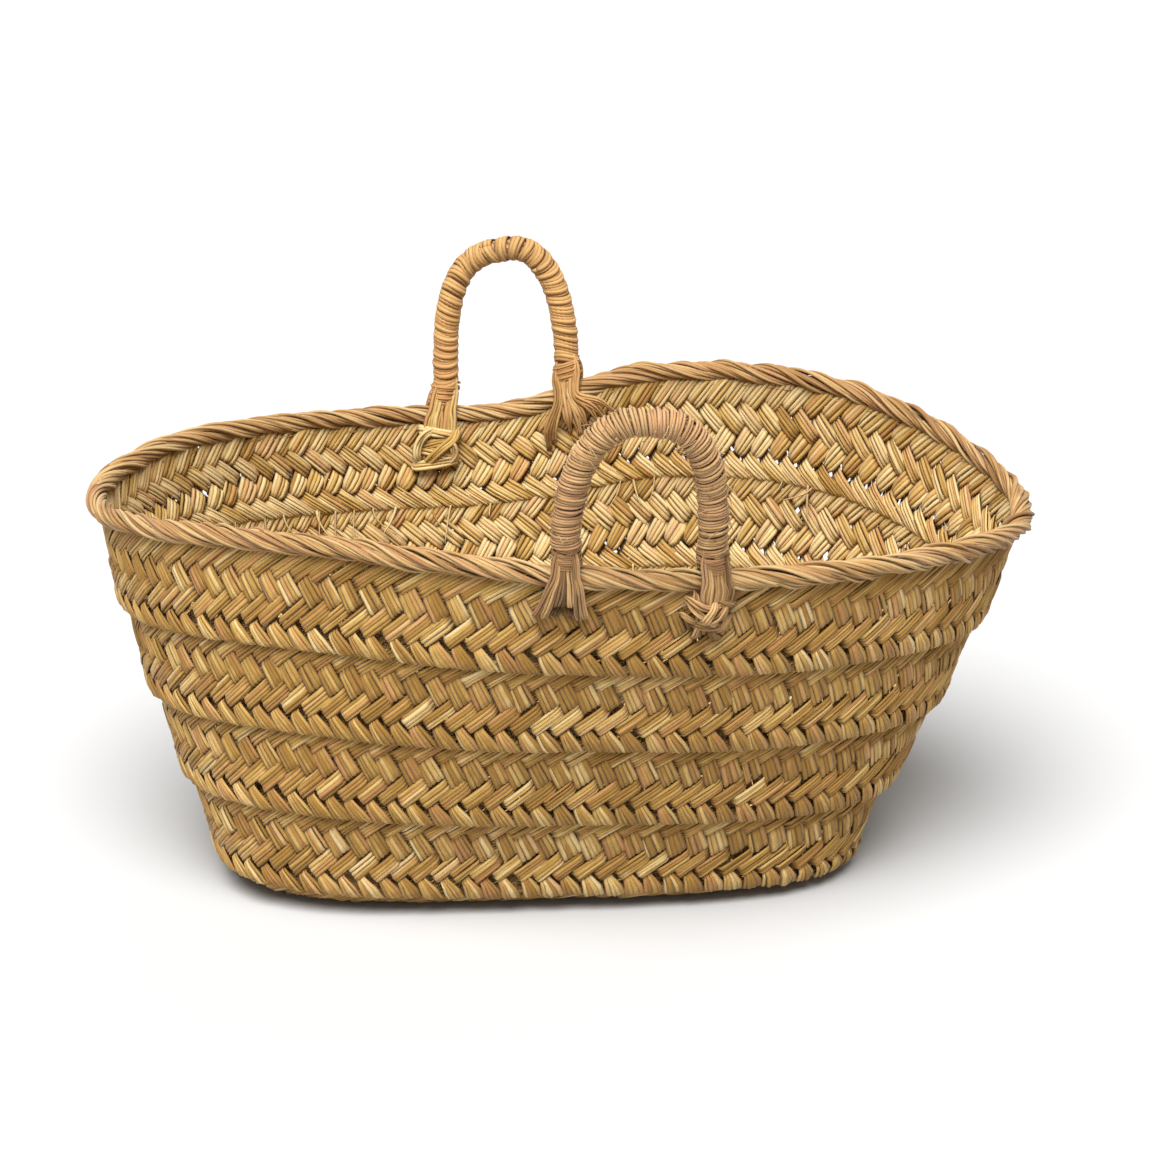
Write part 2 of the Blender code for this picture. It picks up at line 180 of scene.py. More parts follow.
def skin(angle, up):
    """Point on the outer skin, up along it from the knee; below zero it goes round the knee and under."""
    angle, up = np.broadcast_arrays(np.asarray(angle, float), np.asarray(up, float))
    turn = np.clip(-up / KNEE_ARC, 0, 1) * math.pi / 2
    inset = KNEE_INSET * (1 - np.cos(turn)) + np.maximum(-up - KNEE_ARC, 0)
    low = np.concatenate([base_line(angle, inset), (KNEE_HEIGHT * (1 - np.sin(turn)))[..., None]], -1)
    share = np.maximum(up, 0) / wall_slant(angle)
    wall = low + (rim_line(angle) - low) * share[..., None]
    outward = wall[..., :2] / np.array([RIM_LENGTH**2, RIM_WIDTH**2])
    outward = outward / (np.linalg.norm(outward, axis=-1) + 1e-9)[..., None]
    wall[..., :2] += (WALL_BULGE * np.sin(np.pi * np.minimum(share, 1)))[..., None] * outward
    return wall


def unit(vectors):
    return vectors / (np.linalg.norm(vectors, axis=-1) + 1e-12)[..., None]


def outwards(angle, up):
    """Outward direction of the skin."""
    step = 0.002
    along = skin(np.asarray(angle) + step, up) - skin(np.asarray(angle) - step, up)
    upward = skin(angle, np.asarray(up) + step) - skin(angle, np.asarray(up) - step)
    return unit(np.cross(along, upward))


def rope_line(angle):
    return wall_slant(angle) - RIM_ROPE / 2


def top_seam(angle):
    return rope_line(angle) - RIM_ROPE / 2 - SEAM_CLEARANCE - SEAM_CORD / 2


def wall_seam(number, angle):
    tilt = SEAM_TILT * np.cos(angle)
    full = top_seam(angle) - FIRST_SEAM + tilt
    share = (number - 1) / WALL_TURNS
    return FIRST_SEAM - tilt * (1 - share) + (full - tilt) * share


def base_seam(angle):
    return np.zeros_like(angle) + FIRST_SEAM - PLAIT_WIDTH


def middle_slit(angle):
    closing = BASE_WIDTH / 2 - SEAM_CORD / 2 - SEAM_CLEARANCE
    return np.zeros_like(angle) - KNEE_ARC - (closing - KNEE_INSET)


# Angles round the basket, close together where the base's oval turns slowly with the angle.
QUARTER = np.linspace(0, 1, 361)
QUARTER = math.pi / 2 * (QUARTER - np.sin(2 * math.pi * QUARTER) / (2 * math.pi))
FINE_ANGLES = np.concatenate([QUARTER[:-1] + k * math.pi / 2 for k in range(4)] + [[2 * math.pi]])

# Cross-section of a stalk: across it from -0.5 to 0.5, and how far it stands out of its middle, -1 to 1.
SIDES = 4
ACROSS = np.array([0.5, 0, -0.5, 0])
RELIEF = np.array([0, 1, 0, -1])


def stalk_blanks(name, count, rows):
    """Straight stalks side by side, each a tube with closed ends. Returns the object, and which stalk,
    which row and which side each of its points belongs to."""
    bpy.ops.object.select_all(action="DESELECT")
    bpy.ops.mesh.primitive_cylinder_add(vertices=SIDES, radius=0.4, depth=1.0, end_fill_type="NGON")
    made = bpy.context.object
    made.name = made.data.name = name
    bpy.ops.object.mode_set(mode="EDIT")
    bpy.ops.mesh.select_mode(type="EDGE")
    bpy.ops.mesh.select_all(action="DESELECT")
    bpy.ops.object.mode_set(mode="OBJECT")
    spots = [v.co for v in made.data.vertices]
    for edge in made.data.edges:
        edge.select = abs(spots[edge.vertices[0]].z - spots[edge.vertices[1]].z) > 0.5
    bpy.ops.object.mode_set(mode="EDIT")
    bpy.ops.mesh.subdivide(number_cuts=rows - 2)
    bpy.ops.object.mode_set(mode="OBJECT")
    if count > 1:
        copies = made.modifiers.new("side_by_side", "ARRAY")
        copies.count = count
        copies.use_relative_offset = False
        copies.use_constant_offset = True
        copies.constant_offset_displace = (1.0, 0, 0)
        bpy.ops.object.modifier_apply(modifier=copies.name)
    spots = np.zeros(len(made.data.vertices) * 3)
    made.data.vertices.foreach_get("co", spots)
    spots = spots.reshape(-1, 3)
    strand = np.rint(spots[:, 0]).astype(int)
    row = np.rint((spots[:, 2] + 0.5) * (rows - 1)).astype(int)
    turn = np.arctan2(spots[:, 1], spots[:, 0] - strand)
    side = np.rint(turn / (2 * math.pi / SIDES)).astype(int) % SIDES
    return made, strand, row, side


def bend_stalks(blanks, points, along, tuck, tone):
    """Moves the blanks' points to where they lie, and notes for the material how far along its stalk
    each point is, how far across, which stalk it is, how deep it lies (where shade is painted) and how light the
    stalk is."""
    made, strand, row, side = blanks
    mesh = made.data
    mesh.vertices.foreach_set("co", points[strand, row, side].ravel())
    leaf = np.stack([along[strand, row], ACROSS[side] + 0.5, strand + 0.5], -1)
    mesh.attributes.new("leaf", "FLOAT_VECTOR", "POINT").data.foreach_set("vector", leaf.ravel())
    tone = np.broadcast_to(tone.reshape(len(tone), -1), along.shape)
    mesh.attributes.new("tone", "FLOAT", "POINT").data.foreach_set("value", tone[strand, row].ravel())
    mesh.attributes.new("tuck", "FLOAT", "POINT").data.foreach_set("value", tuck[strand, row].ravel())
    mesh.update()
    bpy.ops.object.select_all(action="DESELECT")
    made.select_set(True)
    bpy.context.view_layer.objects.active = made
    bpy.ops.object.shade_smooth()
    return made


STRAND_PITCH = 0.0125         # from one strand to the next along the plait
STALKS = 4                    # in a strand
ROWS = 9                      # crossings from edge to edge, one for each strand
PLACES = np.array([0, .15, .45, 1.1, 1.9, 2.3, 2.5, 2.7, 3.1, 3.9, 4.3, 4.5, 4.7, 5.1, 5.9, 6.3, 6.5, 6.7,
                   7.1, 8.0, 8.6, 8.85, 9.0])
STRIPES = ((-1, -0.1), (0, 0), (2.5, 0.24), (4.5, 0.485), (6.5, 0.735), (9, 1.0), (10, 1.1))  # height of the rows
STEEP = 0.33                  # share of a crossing's pitch that a falling strand moves along the plait
FOLD = 0.6                    # crossings from a fold to where the strand lies flat
STALK_THICKNESS = 0.0008      # half of it
STALK_SPREAD = 1.42           # a stalk's width against its share of the strand
# Where along its way up the plait, how wide a strand is as a share of the pitch.
RISING_WIDTH = ((0, .90), (1, 1.08), (2.0, 1.12), (2.5, 1.04), (3, .96), (4, .98), (4.6, 1.04), (5.5, 1.10),
                (6.5, 1.02), (7, .98), (8, .98), (9, .90))
FALLING_WIDTH = ((0, .92), (1, .92), (1.8, .74), (2.5, .48), (3.0, .94), (4.2, 1.06), (4.7, .98), (5.4, .96),
                 (6, .90), (6.5, .90), (7.2, 1.08), (8.5, 1.08), (9, .90))
RISING_DIVES, FALLING_DIVES = (2.44, 4.56, 6.44), (2.52, 4.46, 6.54)
DIVE = 0.28
INSIDE_PALER = 0.22           # how much lighter, of the way from the darkest to the palest leaf
LEAST_SWING = 0.0006          # of a strand's middle to either side of the plait's middle
ROW_CROWN, LANE_DROP = 0.0003, 0.0009           # a strand stands highest at its middle, both ways
# How much strands and stalks differ: standard deviations, of a share or in metres.
STRAND_WIDTHS, STALK_WIDTHS, STALK_THICKNESSES, STALK_LANES = 0.06, 0.14, 0.12, 0.022
FOLD_SHIFTS, STRAND_STRAYS, STALK_STRAYS = 0.0007, 0.0005, 0.0002
STRAND_LIFTS, STALK_LIFTS = 0.00025, 0.00022
SLOW_TONES, STRAND_TONES, STALK_TONES = 0.07, 0.17, 0.24


def smooth_steps(values, edges, reach):
    """1 before the first edge, -1 after it, 1 after the next and so on, with slopes of that reach."""
    made = np.ones_like(values)
    for number, edge in enumerate(edges):
        t = np.clip((values - edge) / reach * 0.5 + 0.5, 0, 1)
        t = t * t * (3 - 2 * t)
        made += (-2 if number % 2 == 0 else 2) * t
    return made


def plait_turn(name, low, high, depth, half, seed):
    """One closed turn of plait between two lines on the skin. Depth and half are where its middle lies
    below the skin and its half thickness, at its lower edge, its middle and its upper edge."""
    rng = np.random.default_rng(seed)
    levels = np.linspace(0, 1, 7)
    runs = []
    for level in levels:
        line = skin(FINE_ANGLES, low(FINE_ANGLES) * (1 - level) + high(FINE_ANGLES) * level)
        runs.append(np.concatenate([[0], np.cumsum(np.linalg.norm(np.diff(line, axis=0), axis=1))]))
    turn_run = runs[len(levels) // 2]
    turn_length = turn_run[-1]
    shares = [run / run[-1] for run in runs]
    count = int(round(turn_length / STRAND_PITCH))
    pitch = turn_length / count
    strands = 2 * count
    blanks = stalk_blanks(name, strands * STALKS, len(PLACES))

    def per_strand(spread):
        return np.repeat(rng.normal(0, spread, strands), STALKS)[:, None, None]

    def per_stalk(spread):
        return rng.normal(0, spread, (strands * STALKS, 1, 1))

    # Rising strands come first, falling ones after them; both share the folds at the two edges.
    number = np.repeat(np.arange(strands) % count, STALKS)
    rises = np.repeat(np.arange(strands) < count, STALKS)
    rising = rises[:, None, None]
    foot_shift, head_shift = rng.normal(0, FOLD_SHIFTS, (2, count))
    head = np.where(rises, number + ROWS, number) % count
    place = PLACES[None, :, None] + np.zeros((strands * STALKS, 1, SIDES))
    share = place / ROWS
    wide = np.where(rising, np.interp(place, *zip(*RISING_WIDTH)), np.interp(place, *zip(*FALLING_WIDTH)))
    wide = wide * (1 + per_strand(STRAND_WIDTHS))
    lane = (np.arange(STALKS) + 0.5) / STALKS - 0.5
    lane = np.tile(lane, strands)[:, None, None] + per_stalk(STALK_LANES)
    stalk_width = STALK_SPREAD / STALKS * np.sqrt(wide * 0.9) * (1 + per_stalk(STALK_WIDTHS))
    across = lane * wide + ACROSS[None, None, :] * stalk_width
    flat = np.clip(np.minimum(place, ROWS - place), 0, 1)
    flat = flat * flat * (3 - 2 * flat)
    row_place = place + np.where(rising, -1, 1) * across * flat
    height = np.interp(row_place, *zip(*STRIPES))
    lean = np.where(rising, ROWS * (1 - STEEP), -ROWS * STEEP)
    shift = foot_shift[number][:, None, None] * (1 - share) + head_shift[head][:, None, None] * share
    wobble = (per_strand(STRAND_STRAYS) + per_stalk(STALK_STRAYS)) * np.sin(np.pi * share)
    s = (number[:, None, None] + across + lean * row_place / ROWS) * pitch + shift + wobble

    # Over two and under two. A strand dives just before its neighbour's edge.
    over = np.where(rising, -smooth_steps(place, RISING_DIVES, DIVE), smooth_steps(place, FALLING_DIVES, DIVE))
    edge = np.minimum(place, ROWS - place)
    curl = np.sqrt(1 - np.clip((FOLD - edge) / FOLD, 0, 1) ** 2)
    float_middle = np.abs(np.mod(place - 0.5, 2) - 1)
    crown = ROW_CROWN * (1 - float_middle**2) - LANE_DROP * lane**2 * 4
    half_here = np.interp(height, (0, 0.13, 0.5, 0.88, 1.0), (half[0], half[0], half[1], half[2], half[2]))
    swing = np.maximum(half_here - STALK_THICKNESS, LEAST_SWING)
    z = over * curl * (swing + crown) + (per_strand(STRAND_LIFTS) + per_stalk(STALK_LIFTS)) * curl

    # A stalk's thickness stands square to its own slope, worked out on the flat plait.
    width = np.interp(s, turn_run, high(FINE_ANGLES) - low(FINE_ANGLES), period=turn_length)
    flat_points = np.stack([s, height * width, z], -1)
    centre = flat_points[:, :, 1::2].mean(2, keepdims=True)
    tangent = unit(np.gradient(centre, axis=1))
    sideways = np.array([1.0, 0, 0])
    square = unit(np.cross(sideways, tangent))
    thick = STALK_THICKNESS * (1 + per_stalk(STALK_THICKNESSES))
    flat_points = flat_points + square * (RELIEF[None, None, :, None] * thick[..., None])
    round_share = np.mod(flat_points[..., 0] / turn_length, 1)
    level = np.clip(flat_points[..., 1] / width, 0, 1) * (len(levels) - 1)
    turned = sum(np.interp(round_share, line, FINE_ANGLES) * np.clip(1 - np.abs(level - i), 0, 1)
                 for i, line in enumerate(shares))
    up = low(turned) + flat_points[..., 1] / width * (high(turned) - low(turned))
    deep = np.interp(height, (0, 0.5, 1.0), depth)
    points = skin(turned, up) + outwards(turned, up) * (flat_points[..., 2] - deep)[..., None]

    along = np.cumsum(np.linalg.norm(np.diff(centre[:, :, 0], axis=1, prepend=centre[:, :1, 0]), axis=-1), axis=1)
    # Tucked where a strand dives under its neighbour or folds over the edge; the material paints shade there.
    tuck = 1 - np.abs(smooth_steps(place, (2.5, 4.5, 6.5), 0.5))[:, :, 0] * curl[:, :, 0]
    drift = np.interp(number / count, np.linspace(0, 1, 24), rng.normal(0, SLOW_TONES, 24))
    tone = (0.5 + drift + per_strand(STRAND_TONES)[:, 0, 0] + per_stalk(STALK_TONES)[:, 0, 0])[:, None]
    # Partly wear: the outside has been handled and has aged, and the inside has stayed paler. Partly painted light:
    # the inside is painted lighter, for the stronger light that falls in it, and the outside darker.
    tone = np.clip(tone - INSIDE_PALER * over[:, :, 0], 0, 1)
    return bend_stalks(blanks, points, along, tuck, tone)


# The last colour given is the painted shade's, and the number after it is how strongly shade is painted along each
# stalk's two sides.
def straw(name, dark, middle, light, blush, painted_shade_colour, furrow_shade_strength=0.5):
    """Dried grass stalks, split from the plant and air dried: a hard waxy skin with fine lengthwise
    veins. No two stalks have the same colour, and painted shade darkens each stalk's two sides and its tucked ends."""
    made, tree, shader = new_material(name)
    leaf = add_node(tree, "ShaderNodeAttribute", {"attribute_name": "leaf"})
    tone = add_node(tree, "ShaderNodeAttribute", {"attribute_name": "tone"})
    tuck = add_node(tree, "ShaderNodeAttribute", {"attribute_name": "tuck"})
    parts = add_node(tree, "ShaderNodeSeparateXYZ", inputs={0: leaf.outputs["Vector"]})
    along, across, which = (parts.outputs[i] for i in range(3))
    math_node = "ShaderNodeMath"

    def streaks(scales, detail):
        """Noise stretched along the stalk, other on every stalk."""
        place = add_node(tree, "ShaderNodeCombineXYZ")
        for socket, (source, scale) in enumerate(zip((along, across, which), scales)):
            scaled = add_node(tree, math_node, {"operation": "MULTIPLY"}, {0: source, 1: scale})
            tree.links.new(scaled.outputs[0], place.inputs[socket])
        return add_node(tree, "ShaderNodeTexNoise",
                        inputs={"Vector": place.outputs[0], "Scale": 1.0, "Detail": detail}).outputs["Fac"]

    veins = streaks((120.0, 9.0, 7.3), 3.0)     # about half a millimetre apart and eight long
    slow = streaks((55.0, 0.7, 3.7), 1.0)       # slow change of colour over a few centimetres

    total = tone.outputs["Fac"]
    for source, size in ((veins, 0.9), (slow, 0.7)):
        centred = add_node(tree, math_node, {"operation": "SUBTRACT"}, {0: source, 1: 0.5})
        total = add_node(tree, math_node, {"operation": "MULTIPLY_ADD"},
                         {0: centred.outputs[0], 1: size, 2: total}).outputs[0]
    ramp = add_node(tree, "ShaderNodeValToRGB", inputs={"Fac": total})
    ramp.color_ramp.elements[0].position, ramp.color_ramp.elements[0].color = 0.08, to_linear(dark)
    ramp.color_ramp.elements[1].position, ramp.color_ramp.elements[1].color = 0.92, to_linear(light)
    ramp.color_ramp.elements.new(0.5).color = to_linear(middle)

    # Some stalks dried pinkish brown.
    pink = add_node(tree, "ShaderNodeTexWhiteNoise", {"noise_dimensions": "1D"}, {"W": which})
    pink_share = add_node(tree, "ShaderNodeMapRange",
                          inputs={"Value": pink.outputs["Value"], "From Min": 0.72, "From Max": 0.95, "To Max": 0.6})
    colour = add_node(tree, "ShaderNodeMix", {"data_type": "RGBA"},
                      {"Factor": pink_share.outputs["Result"], "A": ramp.outputs["Color"], "B": to_linear(blush)})

    # Painted shade: a stalk's two sides, and its ends that dive under the next strand or fold over an edge, are
    # mixed towards the shade colour.
    from_middle = add_node(tree, math_node, {"operation": "SUBTRACT"}, {0: across, 1: 0.5})
    from_middle = add_node(tree, math_node, {"operation": "ABSOLUTE"}, {0: from_middle.outputs[0]})
    furrow_painted_shade = add_node(tree, "ShaderNodeMapRange", {"interpolation_type": "SMOOTHSTEP"},
                      {"Value": from_middle.outputs[0], "From Min": 0.25, "From Max": 0.5, "To Max": furrow_shade_strength})
    deep = add_node(tree, "ShaderNodeMapRange", {"interpolation_type": "SMOOTHSTEP"},
                    {"Value": tuck.outputs["Fac"], "From Min": 0.15, "From Max": 0.95, "To Max": 0.6})
    painted_shade_share = add_node(tree, math_node, {"operation": "MAXIMUM"},
                      {0: furrow_painted_shade.outputs["Result"], 1: deep.outputs["Result"]})
    colour = add_node(tree, "ShaderNodeMix", {"data_type": "RGBA"},
                      {"Factor": painted_shade_share.outputs[0], "A": colour.outputs["Result"], "B": to_linear(painted_shade_colour)})
    tree.links.new(colour.outputs["Result"], shader.inputs["Base Color"])

    bump = add_node(tree, "ShaderNodeBump",
                    inputs={"Height": veins, "Distance": 0.0004, "Strength": 0.7})
    tree.links.new(bump.outputs["Normal"], shader.inputs["Normal"])
    shader.inputs["Roughness"].default_value = 0.68
    shader.inputs["Specular IOR Level"].default_value = 0.25
    shader.inputs["Sheen Weight"].default_value = 0.08
    return made


plaited_leaf = straw("air_dried_grass_leaf", "#8c672a", "#b28f4c", "#c9b07d", "#b17c50", "#683f10", 0.45)
wall_lines = [lambda a, n=n: wall_seam(n, a) for n in range(1, WALL_TURNS + 2)]
OVERLAP_BELOW, OVERLAP_ABOVE, OVERLAP_ON_BASE = 0.0020, 0.0040, 0.0011
turns = [
    ("base_turn_1", middle_slit, base_seam, (.0043, .0043, .0043), (.0033, .0033, .0033), 11),
    ("base_turn_2", base_seam, wall_lines[0], (.0043, .0043, .0042), (.0033, .0033, .0026), 12),
]
for n in range(1, WALL_TURNS + 1):
    turns.append((f"wall_turn_{n}", wall_lines[n - 1], wall_lines[n], (.0028, .0035, .0046),
                  (.0058, .0034, .0022), 12 + n))
for name, low, high, depth, half, seed in turns:
    on_wall = name.startswith("wall")
    below, above = (OVERLAP_BELOW, OVERLAP_ABOVE) if on_wall else (OVERLAP_ON_BASE, OVERLAP_ON_BASE)
    piece = plait_turn(name + "_plait", lambda a: low(a) - below, lambda a: high(a) + above, depth, half, seed)
    piece.data.materials.append(plaited_leaf)
    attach(piece, "basket")
    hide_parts(name)


# ---- loose ends inside ----------------------------------------------------------------------
# Where a new stalk was plaited in, its end was left long on the inside and has frayed. The ends are
# the plait's own leaf and only the plait's grip near a seam holds them.
LONGEST = 97                  # rows


def lay_stalks(name, centre, facing, half_width, half_thickness, tone, tuck=None):
    """Stalks along given lines. Centre and facing are points and outward directions, by stalk and row.
    One stalk is never more than LONGEST rows long; the next goes on where it ends."""
    stalks, rows = centre.shape[:2]
    tangent = unit(np.gradient(centre, axis=1))
    sideways = unit(np.cross(facing, tangent))
    outward = np.cross(tangent, sideways)
    half_width = np.broadcast_to(half_width, (stalks, rows))
    half_thickness = np.broadcast_to(half_thickness, (stalks, rows))
    tuck = np.broadcast_to(0.0 if tuck is None else tuck, (stalks, rows))
    if rows > LONGEST:
        steps = math.ceil((rows - 1) / math.ceil((rows - 1) / (LONGEST - 1)))
        starts = range(0, rows - 1, steps)
        pick = np.minimum(np.array(starts)[:, None] + np.arange(steps + 1), rows - 1)

        def cut(values):
            return values[:, pick].reshape((-1, steps + 1) + values.shape[2:])

        centre, sideways, outward = cut(centre), cut(sideways), cut(outward)
        half_width, half_thickness, tuck = cut(half_width), cut(half_thickness), cut(tuck)
        tone = np.repeat(tone, len(pick))
        stalks, rows = centre.shape[:2]
    blanks = stalk_blanks(name, stalks, rows)
    half_width, half_thickness = half_width[..., None, None], half_thickness[..., None, None]
    points = (centre[:, :, None] + sideways[:, :, None] * ACROSS[None, None, :, None] * 2 * half_width
              + outward[:, :, None] * RELIEF[None, None, :, None] * half_thickness)
    along = np.cumsum(np.linalg.norm(np.diff(centre, axis=1, prepend=centre[:, :1]), axis=-1), axis=1)
    return bend_stalks(blanks, points, along, tuck, np.clip(tone, 0, 1))


LOOSE_ENDS, END_ROWS = 110, 8
END_SEAMS = [2, 3, 3, 3]      # most of them hang at the seam above the second wall turn
rng = np.random.default_rng(27)
centre, facing, wide = [], [], []
for end in range(LOOSE_ENDS):
    seam = wall_lines[int(rng.choice(END_SEAMS))]
    place = np.full(END_ROWS, rng.uniform(0, 2 * math.pi))
    away = np.linspace(0, 1, END_ROWS)
    length, lift, drift = rng.uniform(0.010, 0.030), rng.uniform(0.0008, 0.0050), rng.normal(0, 0.04)
    place = place + drift * away**2
    up = seam(place) + 0.002 - length * away
    out = outwards(place, up)
    centre.append(skin(place, up) - out * (PLAIT_THICKNESS + 0.0004 + lift * away)[:, None])
    facing.append(-out)
    wide.append(rng.uniform(0.0005, 0.0012) * np.linspace(1, 0.4, END_ROWS))
ends = lay_stalks("loose_ends_inside", np.array(centre), np.array(facing), np.array(wide), 0.0003,
                  rng.normal(0.8, 0.2, LOOSE_ENDS))
ends.data.materials.append(plaited_leaf)
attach(ends, "basket")


# ---- sewing cords ---------------------------------------------------------------------------
# Two thin plies of the same leaf twisted together, laid in the seam between two turns of the plait
# and drawn tight, so only short lengths of it show between the edges.
def cord_along(name, points, facing, node, rng):
    """Two-ply cord along a line of points."""
    lay = 0.011               # length of one twist
    run = np.concatenate([[0], np.cumsum(np.linalg.norm(np.diff(points, axis=0), axis=1))])
    tangent = unit(np.gradient(points, axis=0))
    sideways = np.cross(facing, tangent)
    centres = []
    for ply in (0, math.pi):
        turn = 2 * math.pi * run / lay + ply
        round_it = facing * np.cos(turn)[:, None] + sideways * np.sin(turn)[:, None]
        centres.append(points + round_it * SEAM_CORD / 4)
    piece = lay_stalks(name, np.array(centres), np.array([facing, facing]), SEAM_CORD / 3.6, SEAM_CORD / 3.6,
                       rng.normal(0.45, 0.1, 2))
    piece.data.materials.append(sewing_cord)
    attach(piece, "basket")
    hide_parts(node)


def even_angles(line, step):
    """Angles that step evenly along a closed line."""
    run = np.concatenate([[0], np.cumsum(np.linalg.norm(np.diff(line(FINE_ANGLES), axis=0), axis=1))])
    return np.interp(np.linspace(0, run[-1], int(run[-1] / step)), run, FINE_ANGLES)


sewing_cord = straw("twisted_grass_cord", "#6f4f28", "#a37d48", "#c9a56c", "#a2764f", "#3f2610")
rng = np.random.default_rng(31)
seams = [("base_seam_cord_2", base_seam), ("rim_seam_cord", top_seam)]
seams += [(f"wall_seam_cord_{n}", wall_lines[n - 1]) for n in range(1, WALL_TURNS + 1)]
for name, seam in seams:
    angles = even_angles(lambda a: skin(a, seam(a)), 0.0022)
    facing = outwards(angles, seam(angles))
    cord_along(name + "_plies", skin(angles, seam(angles)) - facing * SEAM_DEPTH, facing, name, rng)
MIDDLE_ROWS = 46
reach = np.linspace(-0.05, 0.05, MIDDLE_ROWS)
heading = np.array([math.cos(BASE_TURN), math.sin(BASE_TURN)])
middle = np.concatenate([BASE_SHIFT + reach[:, None] * heading, np.full((MIDDLE_ROWS, 1), PLAIT_THICKNESS / 2)], 1)
cord_along("base_seam_cord_1_plies", middle, np.tile([0.0, 0.0, -1.0], (MIDDLE_ROWS, 1)),
           "base_seam_cord_1", rng)


# ---- rim rope -------------------------------------------------------------------------------
# Seven bundles of leaf laid round the plait's upper edge in a slow twist, so they fall towards +X on
# the front. New leaf is laid in as the old runs out; its ends are pushed in under the next bundle.
BUNDLES, BUNDLE_STALKS, LENGTHS = 7, 3, 9
TWISTS = 16                   # turns of the rope round the whole rim
BUNDLE_RADIUS, TUCKED_IN, SIDE_DROP = 0.0056, 0.0022, 0.0012
LANE_TURN = 0.24              # radians from one stalk of a bundle to the next
rope_angles = even_angles(rim_line, 0.004)
rope_angles[-1] = rope_angles[0] + 2 * math.pi
rope_facing = outwards(rope_angles, rope_line(rope_angles) - 0.004)
rope_middle = skin(rope_angles, rope_line(rope_angles)) - rope_facing * PLAIT_THICKNESS / 2
rope_steps = len(rope_angles) - 1
rope_tangent = unit(np.roll(rope_middle[:-1], -1, 0) - np.roll(rope_middle[:-1], 1, 0))
rope_up = np.cross(rope_facing[:-1], rope_tangent)
rng = np.random.default_rng(41)
rows = rope_steps // LENGTHS + 14
centre, facing, wide, tone, tuck = [], [], [], [], []
for bundle in range(BUNDLES):
    for length in range(LENGTHS):
        start = int((length + rng.uniform(-0.2, 0.2) + bundle * 0.37) * rope_steps / LENGTHS)
        steps = np.arange(start, start + rows)
        along = np.linspace(0, 1, rows)
        tucked = np.clip(np.minimum(along, 1 - along) / 0.10, 0, 1)
        tucked = 1 - tucked * tucked * (3 - 2 * tucked)
        swell = 0.0007 * np.sin(along * rng.uniform(8, 18) + rng.uniform(0, 6))
        stray = 0.16 * np.sin(along * rng.uniform(5, 12) + rng.uniform(0, 6))
        shade = rng.normal(0.60, 0.12)
        for stalk in range(BUNDLE_STALKS):
            lane = (stalk - 1) * LANE_TURN + rng.normal(0, 0.06)
            turn = (bundle * 2 * math.pi / BUNDLES + lane * (1 - 0.5 * tucked)
                    - 2 * math.pi * TWISTS * steps / rope_steps + stray)
            at = steps % rope_steps
            out = rope_facing[at] * np.cos(turn)[:, None] + rope_up[at] * np.sin(turn)[:, None]
            radius = (BUNDLE_RADIUS + swell - TUCKED_IN * tucked - SIDE_DROP * abs(lane) / LANE_TURN
                      + rng.normal(0, 0.0004))
            centre.append(rope_middle[at] + out * radius[:, None])
            facing.append(out)
            wide.append(0.0013 * (1 - 0.5 * tucked))
            tone.append(shade + rng.normal(0, 0.16))
            # The tucked ends get painted shade from the material.
            tuck.append(np.clip(tucked * 0.9, 0, 1))
rim = lay_stalks("rim_rope_bundles", np.array(centre), np.array(facing), np.array(wide), 0.0012,
                 np.array(tone), np.array(tuck))
rim_leaf = straw("twisted_rim_leaf", "#755229", "#9c7645", "#b39566", "#a0724e", "#3c230c")
rim.data.materials.append(rim_leaf)
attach(rim, "basket")
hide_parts("rim_rope")


# ---- handles --------------------------------------------------------------------------------
# A stiff rope bent to an arch, with split leaf wound tightly round it. The rear one is wound with wide
# smooth leaf; the front one with narrow, rougher leaf that dried browner and has frayed.
HANDLE_CORE, HANDLE_WRAP, HANDLE_LEAN, HANDLE_HEIGHT = 0.0124, 0.0022, math.radians(10.5), 0.0943
SPANS, MIDDLES = {1: 0.083, -1: 0.084}, {1: -0.0265, -1: 0.044}
SPLAY_SIDE_SQUARENESS, KNOT_SIDE_SQUARENESS = 2.2, 3.2
GAP, STRAP = 0.0003, 0.0030
LEAF_DEPTH = 0.0009           # from the outside of the windings to the middle of the leaf
WRAP_RADIUS = HANDLE_CORE / 2 + GAP + HANDLE_WRAP
ROOT_RISE = RIM_ROPE / 2 + GAP + STRAP + 2 * GAP + WRAP_RADIUS


def angle_at(x, side):
    angles = np.linspace(0.25, 0.75, 2001) * math.pi * side
    return np.interp(-np.asarray(x), -rim_line(angles)[:, 0], angles)


def straight_down(x, side):
    """Turn of the angle for each metre down the wall that keeps x the same."""
    angles = np.linspace(0.2, 0.8, 2001) * math.pi * side
    knee = np.interp(-x, -base_line(angles, np.zeros_like(angles))[:, 0], angles)
    return (knee - angle_at(x, side)) / wall_slant(np.array(angle_at(x, side)))


def by_the_rim(x, down, out, side):
    """Point from the rim rope's middle: down along the wall's middle, out from it."""
    x, down, out = np.broadcast_arrays(*(np.asarray(v, float) for v in (x, down, out)))
    centre = MIDDLES[side]
    angle = angle_at(x, side) + straight_down(centre, side) * np.maximum(down, 0)
    up = rope_line(angle) - np.maximum(down, 0)
    facing = outwards(angle, np.minimum(up, rope_line(angle) - 0.004))
    upward = unit(skin(angle, rope_line(angle)) - skin(angle, rope_line(angle) - 0.01))
    point = skin(angle, up) - facing * PLAIT_THICKNESS / 2
    return point + upward * np.maximum(-down, 0)[..., None] + facing * out[..., None]


